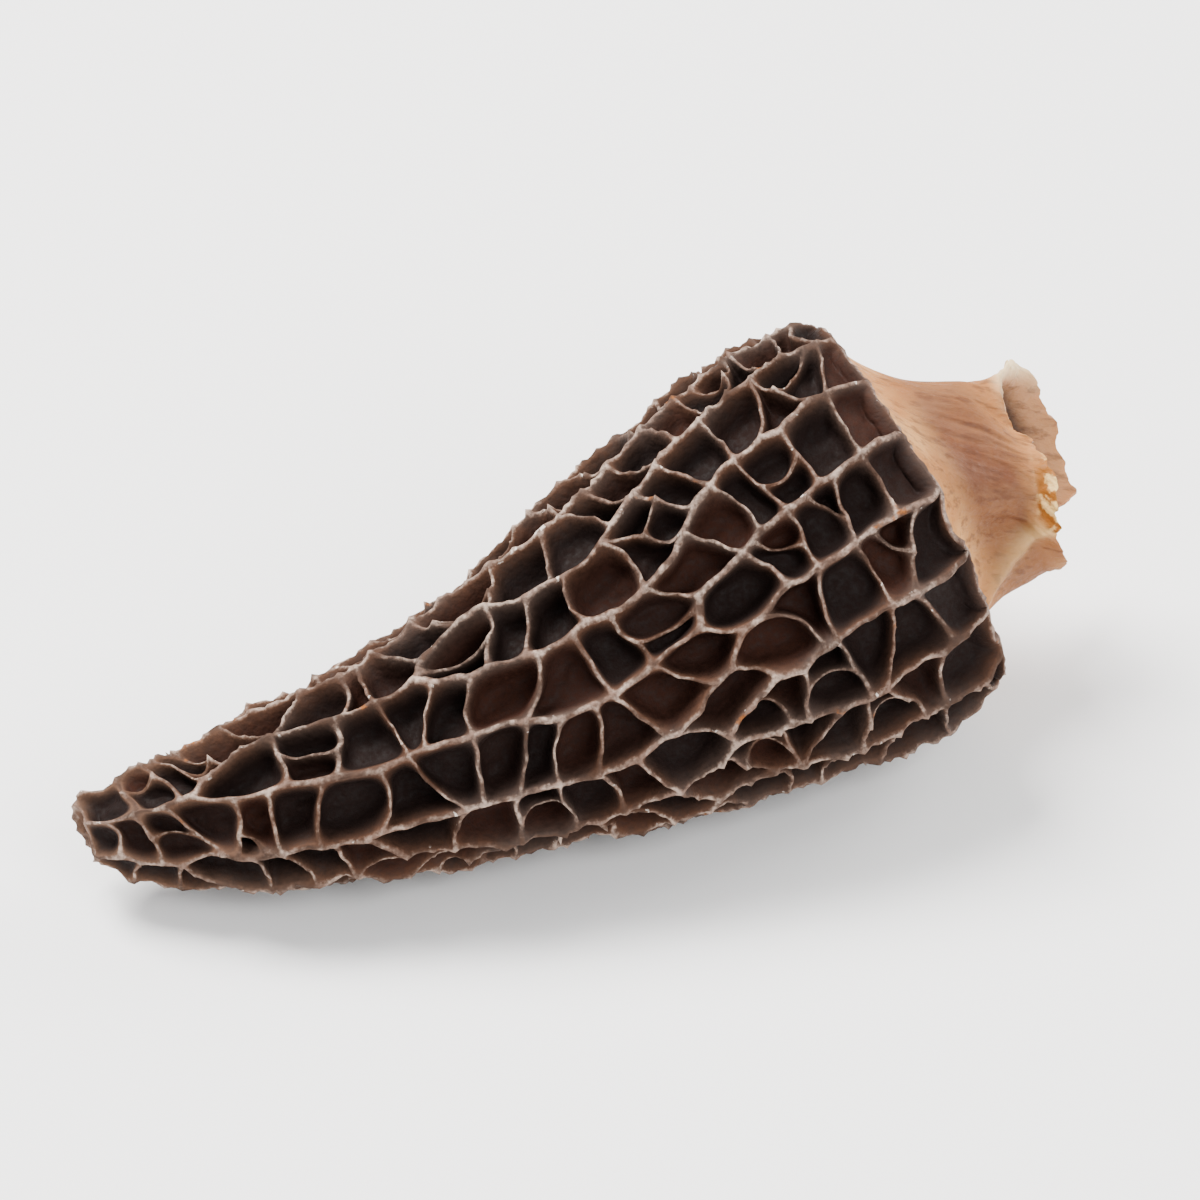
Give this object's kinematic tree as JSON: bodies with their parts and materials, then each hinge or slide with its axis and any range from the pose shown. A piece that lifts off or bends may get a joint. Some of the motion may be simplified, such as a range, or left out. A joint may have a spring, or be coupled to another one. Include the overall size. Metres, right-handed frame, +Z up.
{
  "type": "dried morel mushroom",
  "caption": "Dried morel mushroom lying on its side: hollow conical cap with a raised net of ribs round deep pits, and a short cut hollow stem.",
  "frame": {"origin": "on the surface that the mushroom lies on, under the middle of its bounding box", "axes": "+X along the mushroom from the cap's tip to the stem, +Z up from the surface, +Y to the back"},
  "size_m": [0.0748, 0.0324, 0.028],
  "materials": {
    "dark_flesh": "dry matt dark brown flesh, paler greyish beige along the ribs' tops",
    "pale_flesh": "dry matt cream flesh, amber at the torn edge"
  },
  "bodies": {
    "root": {"cap": "dark_flesh", "stem": "pale_flesh"}
  },
  "joints": []
}
